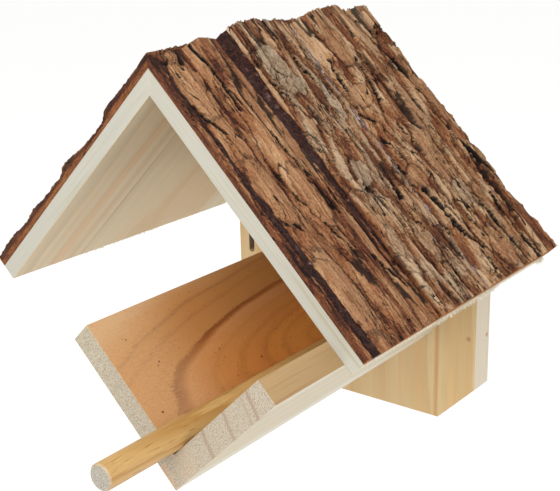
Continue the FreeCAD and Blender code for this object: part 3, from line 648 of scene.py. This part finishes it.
def seamEdges(side, number, part):
    depth = roof["depth"]
    seams = barkRoof["seams"][side]
    if number == 0:
        return 0.0, 0.0
    if number > len(seams):
        ragged = depth + barkRoof["overhang"] * threeWay((0.3, 0.1, 1), part)
        return ragged, ragged
    shares, widths = seams[number - 1]
    middle, width = depth * threeWay(shares, part), threeWay(widths, part)
    return middle - width / 2, middle + width / 2


def crackDistance(down, back, start, end):
    dx, dy = end[0] - start[0], end[1] - start[1]
    part = ((down - start[0]) * dx + (back - start[1]) * dy) / (dx * dx + dy * dy)
    part = min(1.0, max(0.0, part))
    return math.hypot(down - start[0] - part * dx, back - start[1] - part * dy)


def barkSurface(strip, side, seed, down, back):
    # height over the board in mm, and the marks that colour it: shade, openness and greyness; low
    # openness paints shade, near black
    part = down / roof["slope"]
    base = between(strip["rise"], back) * threeWay((1, *strip["left"]), part)
    long, wide = strip["scales"]
    calm = 0.3 + 0.7 * smooth(down, 0, barkRoof["ridgeZone"])  # the ridge's outline is smoother
    drift = ripple(down / 60, back / 30, seed) * barkForm["drift"]
    at = {name: ripple(down / size, (back + drift * follow) / width, seed + apart)
          for name, (size, width, apart, follow) in barkNoise.items()}
    torn, fine, places = at["torn"], at["fine"], at["places"]
    # three thin layers over a fibrous ground, each broken away in long flakes
    grow = noise.fractal(Vector((down / long, (back + drift) / wide, seed + 20)), 0.75, 2.1, 4)
    level = grow * 1.2 + torn * 0.13 + fine * 0.10 + strip["cover"]
    rims = barkForm["layerRims"]
    layers = [smooth(level, rim, rim + 0.035) for rim in rims]
    # painted shade in a thin band just below each layer's rim
    rimShade = max(1 - smooth(abs(level - rim + 0.03), 0.015, 0.05) for rim in rims)
    # fissures that run with the fibres, open in some places only, and painted dark with shade up
    # to their rims
    fissure = min(abs(at["longSplit"] + torn * 0.05 + fine * 0.03),
                  abs(at["shortSplit"] + torn * 0.06 + fine * 0.03) + 0.02)
    width = 0.03 + 0.09 * max(0.0, places + 0.05)
    closed = smooth(fissure, width * 0.4, width)
    clean = smooth(fissure, width * 0.7, width * 1.3)
    relief = sum(layers) * barkForm["layer"] + at["slab"] * barkForm["slab"] - 1.0
    relief *= strip["rough"]
    relief += at["rib"] * (barkForm["rib"] - 0.2 * layers[1]) + fine * barkForm["fine"]
    relief -= (1 - closed) * strip["crack"] * (0.4 + 1.2 * max(0.0, places + 0.1))
    height = base + relief * calm
    shade = strip["tone"]
    for layer, lighter in zip(layers, barkForm["layerShades"]):
        shade += lighter * layer
    shade += 0.3 * at["own"]
    greyness = strip["grey"] * (0.25 + 0.75 * layers[1] * smooth(at["grey"], -0.25, 0.15))
    # how deep the painted shade under the rims is, more in some places
    dark = rimShade * (0.25 + 0.75 * smooth(torn + places, -0.2, 0.3))
    marks = [shade - 0.40, min(1 - 0.75 * dark, 0.1 + 0.9 * clean), greyness]
    if side > 0:
        wander = ripple(down / 5, back / 9, 77) * 1.2 + ripple(down / 1.8, back / 4, 78) * 0.7
        for spots, half, deep in openCracks:
            near = min(crackDistance(down, back + wander, *pair)
                       for pair in zip(spots, spots[1:]))
            ragged = half * (1 + 0.6 * torn + 0.2 * fine)
            if near < ragged * 1.6:
                height -= (1 - smooth(near, ragged * 0.5, ragged * 1.3)) * deep * calm
                # painted shade fills the crack, a little wider than its trench
                marks[1] = min(marks[1], smooth(near, ragged * 1.1, ragged * 1.6))
        for (atDown, atBack), (halfLong, halfWide), lift, shade, greyness in barkPlates:
            apart = math.hypot((down - atDown) / halfLong,
                               (back + wander * 0.6 - atBack) / halfWide)
            apart += torn * 0.16 + fine * 0.12
            if apart < 1.12:
                on = 1 - smooth(apart, 0.96, 1.01)
                height += on * lift * 0.8
                marks[0] += (shade - 0.08 - marks[0]) * on * 0.85
                # open inside a scale, and painted shade in the thin ring just outside its edge
                marks[1] = max(marks[1], 0.85 * on) if apart < 0.96 else min(marks[1], 0.5)
                marks[2] += (greyness - marks[2]) * on
    return height, marks


def closedSheet(stepsDown, stepsAcross, cuts):
    # a grid of 1 x 1 at height 1, with walls down to the board at 0 and an underside
    bm = bmesh.new()
    bmesh.ops.create_grid(bm, x_segments=stepsDown, y_segments=stepsAcross, size=0.5)
    bmesh.ops.translate(bm, verts=bm.verts, vec=(0, 0, 1))
    rim = [edge for edge in bm.edges if edge.is_boundary]
    grown = bmesh.ops.extrude_edge_only(bm, edges=rim)["geom"]
    foot = {g for g in grown if isinstance(g, bmesh.types.BMVert)}
    bmesh.ops.translate(bm, verts=list(foot), vec=(0, 0, -1))
    bmesh.ops.contextual_create(bm, geom=[
        g for g in grown if isinstance(g, bmesh.types.BMEdge) and foot.issuperset(g.verts)])
    walls = [e for e in bm.edges if abs(e.verts[0].co.z - e.verts[1].co.z) > 0.5]
    bmesh.ops.subdivide_edges(bm, edges=walls, cuts=cuts)
    return bm


def addObject(name, data):
    made = bpy.data.objects.new(name, data)
    bpy.context.scene.collection.objects.link(made)
    return made


def meshFrom(bm, name, material):
    mesh = bpy.data.meshes.new(name)
    bm.to_mesh(mesh)
    bm.free()
    mesh.materials.append(material)
    return mesh


def finishSkin(bm, name, material):
    bmesh.ops.recalc_face_normals(bm, faces=bm.faces)
    mesh = meshFrom(bm, name, material)
    mesh.shade_smooth()
    mesh.set_sharp_from_angle(angle=math.radians(40))
    piece = addObject(name, mesh)
    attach(piece, "root")
    return piece


def barkPiece(name, side, number, material):
    strip = barkStrips[name]
    seed = 13.7 * number + (40 if side > 0 else 90)
    wide = max(seamEdges(side, number, p / 4)[0] - seamEdges(side, number - 1, p / 4)[1]
               for p in range(5))
    bm = closedSheet(round(roof["slope"] / barkRoof["stepDown"]),
                     max(5, round(wide / barkRoof["stepAcross"])), barkRoof["wallCuts"])
    marksLayer = bm.verts.layers.float_color.new("barkMarks")
    for vert in bm.verts:
        part, across, rise = vert.co.x + 0.5, vert.co.y + 0.5, vert.co.z
        down = part * roof["slope"]
        front = seamEdges(side, number - 1, part)[1]
        rear = seamEdges(side, number, part)[0]
        # torn edges, but sawn flush along the roof's front
        if number > 1:
            front += barkRoof["waver"] * ripple(down / 11, 3.1, seed) - 0.2
            front += barkRoof["fray"] * ripple(down / 2.2, rise * 2, seed) * (rise > 0)
        if number <= len(barkRoof["seams"][side]):
            rear += barkRoof["waver"] * ripple(down / 11, 8.1, seed) + 0.2
            rear += barkRoof["fray"] * ripple(down / 2.2, rise * 2 + 5, seed) * (rise > 0)
        else:
            rear += barkRoof["rearWaver"] * ripple(down / 9, 8.1, seed)
        back = front + (rear - front) * across
        height, marks = barkSurface(strip, side, seed, down, back)
        if side < 0 and number == 1:
            outline = between(leftEdgeRise, down) + 0.6 * ripple(down / 1.7, 2.2, seed)
            outline += 0.5 * ripple(down / 4, 7.7, seed)
            height += (outline - height) * (1 - smooth(back, 3, 12))
        # rounded shoulders beside the seams
        edge = min(back - front if number > 1 else 9, rear - back)
        height *= 0.86 + 0.14 * smooth(edge, 0, barkRoof["shoulder"])
        height = max(barkRoof["thinnest"], height)
        sawn = 0.0
        if rise < 1:
            # the walls get darker towards the board: painted shade at their foot
            marks = [0.22, max(0.4, marks[1]) * (0.5 + 0.5 * rise), 0.0]
            if part == 1:  # sawn flush with the board's lower edge
                marks[1], sawn = 1.0, 0.85
            elif number == 1 and across == 0:  # sawn flush with its front, dark on the outside
                inner = side < 0 and rise < 0.5
                marks = [0.08, 1.0 if inner else 0.75 if side > 0 else 0.45, 0.0]
                sawn = 0.15 if inner else 0.0
        elif side < 0 and number == 1 and across == 0:
            marks[1] = min(marks[1], 0.4)
        out = rise * height
        # both slopes' bark is cut upright where it meets over the ridge
        down += -out * (1 - smooth(down, 0, barkRoof["ridgeZone"]))
        if part == 0:
            down = -out + 0.15
        vert.co = onSlope(side, down, back, out)
        vert[marksLayer] = (*marks, sawn)
    piece = finishSkin(bm, name + "_skin", material)
    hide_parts(name)


print("bark")
barkLook = {  # each pattern: length down the slope and width across it in mm, detail, roughness
    # crack is the painted shade colour for the splits and cracks
    "crack": "#120907", "deep": "#341a10", "red": "#62331d", "brown": "#82502f",
    "tan": "#9a6a46", "pale": "#aa815b", "dust": "#bd9873", "greyDark": "#50392a",
    "grey": "#8c7861", "greyPale": "#ab9b84", "sawnDark": "#87501f", "sawn": "#c9823c",
    "patterns": {"bend": (26, 8, 2.0, 0.5), "scales": (13, 2.6, 5.0, 0.58),
                 "splits": (52, 5, 1.5, 0.5), "fibre": (8, 0.7, 3.0, 0.6),
                 "grit": (1.2, 0.8, 4.0, 0.75), "broad": (40, 12, 3.0, 0.55),
                 "places": (30, 14, 1.0, 0.5)},
    "layers": 0.22, "broad": 0.5, "fibre": 0.5, "grit": 1.15, "from": 1.03, "to": 2.15}
for side, word in slopes:
    driedBark = barkMaterial("driedConiferBark_" + word, side, barkLook)
    for number in range(1, 6):
        barkPiece("bark_%s_%d" % (word, number), side, number, driedBark)


# ---- glue in the seams

def hotGlue(name, look):
    # set hot-melt glue: glossy, almost black-brown with the bark dust in it, with small bluish
    # spots painted on as painted highlights
    material, tree, shader = newMaterial(name)
    place = addNode(tree, "TexCoord")
    pale = addNode(tree, "Attribute", attribute_name="gluePaleAndGlints")
    lumps = addNode(tree, "TexNoise", {
        "Vector": place.outputs["Object"], "Scale": look["lumps"], "Detail": 3.0,
        "Roughness": 0.55})
    share = addNode(tree, "Math", {
        0: lumps.outputs["Fac"], 1: 0.6, 2: pale.outputs["Fac"]}, operation="MULTIPLY_ADD")
    # the palest stop is the painted highlight colour
    tone = addNode(tree, "ValToRGB", {0: share.outputs[0]}, stops=[
        (0.22, look["deep"]), (0.45, look["dark"]), (0.75, look["violet"]), (1.0, look["paintedGlint"])])
    # bark dust
    dust = addNode(tree, "TexNoise", {
        "Vector": place.outputs["Object"], "Scale": look["grains"], "Detail": 3.0,
        "Roughness": 0.7})
    dustShare = addNode(tree, "MapRange", {
        "Value": dust.outputs["Fac"], "From Min": 0.52, "From Max": 0.6, "To Max": 0.7})
    dusty = addNode(tree, "Mix", {
        "Factor": dustShare.outputs[0], 6: tone.outputs["Color"], 7: linear(look["dust"])},
        data_type="RGBA")
    bump = addNode(tree, "Bump", {
        "Height": lumps.outputs["Fac"], "Strength": 0.8, "Distance": mm})
    wire(tree, shader, {
        "Base Color": dusty.outputs[2], "Roughness": 0.18, "IOR": 1.48,
        "Normal": bump.outputs[0], "Specular IOR Level": 0.1})
    return material


# each seam's fill: how high in mm it stands on its front side and on its back side, at the
# ridge, half way down and at the eave, and how pale it is
glueMesh = {"stepsDown": 230, "stepsAcross": 8}
glueSeams = {
    1: [((2.2, 2.2, 2.6), (2.8, 3.0, 3.4), 0.0), ((4.6, 3.6, 2.0), (8.6, 6.4, 2.4), 0.0),
        ((6.2, 5.4, 5.0), (6.0, 5.6, 5.2), 0.5), ((4.0, 3.4, 3.0), (6.5, 5.0, 3.2), 0.0)],
    -1: [((2.0, 1.8, 2.2), (2.4, 2.2, 2.4), 0.0), ((2.6, 2.2, 2.0), (3.4, 2.8, 2.4), 0.0),
         ((3.0, 2.4, 2.0), (3.0, 2.4, 2.0), 0.15), ((2.4, 2.4, 2.6), (2.8, 2.8, 2.6), 0.0)],
}


def glueBead(name, side, number, fill, material):
    frontRise, rearRise, pale = fill
    seed = 5.3 * number + side
    bm = closedSheet(glueMesh["stepsDown"], glueMesh["stepsAcross"], 1)
    paleAndGlintLayer = bm.verts.layers.float.new("gluePaleAndGlints")
    for vert in bm.verts:
        part, across, rise = vert.co.x + 0.5, vert.co.y + 0.5, vert.co.z
        down = part * roof["slope"]
        front, rear = seamEdges(side, number, part)
        # it wets the bark on both sides, in some places higher than in others
        front -= 0.5 + 0.6 * ripple(down / 6, 0.3, seed)
        rear += 0.5 + 0.6 * ripple(down / 6, 4.1, seed)
        back = front + (rear - front) * across
        crown = 1 - (2 * across - 1) ** 2
        height = (threeWay(frontRise, part) * (1 - across) + threeWay(rearRise, part) * across)
        height += 0.6 * crown + 0.9 * ripple(down / 9, back / 5, seed)
        height += 0.35 * ripple(down / 2.5, back / 2, seed)
        out = rise * max(0.6, height)
        # painted glints: pale bluish spots stand in for highlights on the glossy glue
        paintedGlint = ripple(down / 3.5, back / 1.6, seed + 7)
        vert[paleAndGlintLayer] = pale + 0.45 * smooth(paintedGlint, 0.45, 0.52)
        vert.co = onSlope(side, down if part else 0.15 - out, back, out)
    piece = finishSkin(bm, name + "_bead_%d" % number, material)
    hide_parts(name)


print("glue")
glueLook = {  # lumps about 4 mm and dust grains about 1.5 mm across, as noise per metre
    "deep": "#1a0c0a", "dark": "#2f1916", "violet": "#4b3736", "paintedGlint": "#a8a5b4",
    "dust": "#46281b", "lumps": 260.0, "grains": 700.0}
setGlue = hotGlue("hotMeltGlue", glueLook)
for side, word in slopes:
    for number, fill in enumerate(glueSeams[side], start=1):
        glueBead("bark_glue_" + word, side, number, fill, setGlue)


# ---- torn fibres at the eave

def tornPine(name, colours):
    # fresh torn pine: pale, dry and fluffy
    material, tree, shader = newMaterial(name)
    place = addNode(tree, "TexCoord")
    fluff = addNode(tree, "TexNoise", {
        "Vector": place.outputs["Object"], "Scale": 500.0, "Detail": 2.0})
    tone = addNode(tree, "ValToRGB", {0: fluff.outputs["Fac"]},
                   stops=[(0.3, colours[0]), (0.7, colours[1])])
    wire(tree, shader, {"Base Color": tone.outputs["Color"], "Roughness": 0.9})
    return material


# the saw tore the boards' lower edges, this far down the slope: slivers with their roots at these
# heights over the board's outer face, in clumps from and to mm back from the front edge, with how
# many and the longest in mm
eaveFibres = {
    "colours": ("#c9bfa9", "#e2dccd"), "width": (0.5, 1.3), "down": 184.2,
    "right": {"out": (-2.6, -0.5), "clumps": [
        (4, 70, 70, 0.8), (70, 138, 260, 2.0), (138, 190, 90, 1.0), (188, 199, 30, 2.4)]},
    "left": {"out": (-9.8, -8.8), "clumps": [
        (2, 60, 50, 0.6), (60, 130, 150, 1.6), (130, 198, 70, 0.8)]},
}


def fringeEave(name, side, fringe, material):
    picks = random.Random(11)
    start = eaveFibres["down"]
    bm = bmesh.new()
    for near, far, count, longest in fringe["clumps"]:
        for _ in range(count):
            length = longest * picks.uniform(0.45, 1.0) + 1.0
            width = picks.uniform(*eaveFibres["width"])
            root = onSlope(side, start, picks.uniform(near, far), picks.uniform(*fringe["out"]))
            tip = onSlope(side, start + length, 0, 0) - onSlope(side, start, 0, 0)
            tip += Vector((picks.uniform(-0.5, 0.2), picks.uniform(-0.9, 0.9),
                           picks.uniform(-0.9, 0.3))) * length * 0.5 * mm
            turn = tip.to_track_quat("Z", "Y").to_matrix().to_4x4()
            bmesh.ops.create_cone(
                bm, cap_ends=True, cap_tris=True, segments=4, radius1=width * mm / 2,
                radius2=0.05 * mm, depth=tip.length,
                matrix=Matrix.Translation(root + tip / 2) @ turn)
    piece = finishSkin(bm, name, material)


print("eave fibres")
tornFibres = tornPine("tornPineFibres", eaveFibres["colours"])
for side, word in slopes:
    fringeEave("roof_board_%s_fibres" % word, side, eaveFibres[word], tornFibres)


# ---- floor, light and camera

print("stage")
studio = {"floorSize": 14.0, "floorHeight": -0.40, "paper": "#fdfdfc", "room": (1.0,) * 4}
paper, tree, shader = newMaterial("whitePaper")
wire(tree, shader, {"Base Color": linear(studio["paper"]), "Roughness": 0.9})
bm = bmesh.new()
bmesh.ops.create_grid(bm, x_segments=1, y_segments=1, size=studio["floorSize"])
bmesh.ops.translate(bm, verts=bm.verts, vec=(0, 0, studio["floorHeight"]))
studioFloor = addObject("studioFloor", meshFrom(bm, "studioFloor", paper))

world = bpy.data.worlds.new("softRoom")
world.use_nodes = True
bpy.context.scene.world = world
bpy.context.scene.view_settings.view_transform = "Standard"
wire(world.node_tree, world.node_tree.nodes["Background"], {
    "Color": studio["room"], "Strength": 1.0})

lights = {  # place, aim, size and power of each soft box
    "keyBox": ((0.55, -0.75, 1.05), (0.0, -0.12, 0.02), 0.9, 5.0),
    "frontBox": ((0.28, -1.15, 0.42), (0.0, -0.12, 0.0), 0.7, 9.0),
}
for lightName, (place, aim, width, power) in lights.items():
    data = bpy.data.lights.new(lightName, "AREA")
    data.shape = "SQUARE"
    data.size = width
    data.energy = power
    lamp = addObject(lightName, data)
    lamp.location = place
    lamp.rotation_euler = (Vector(aim) - Vector(place)).to_track_quat("-Z", "Y").to_euler()

view = {"place": (0.40344, -0.61391, 0.23279), "turn": (72.1038, 1.2577, 37.4213), "lens": 72.861}
cameraData = bpy.data.cameras.new("photoCamera")
cameraData.lens = view["lens"]
cameraData.sensor_width = 36.0
cameraData.clip_start = 0.02
camera = addObject("photoCamera", cameraData)
camera.location = view["place"]
camera.rotation_euler = [math.radians(angle) for angle in view["turn"]]
bpy.context.scene.camera = camera
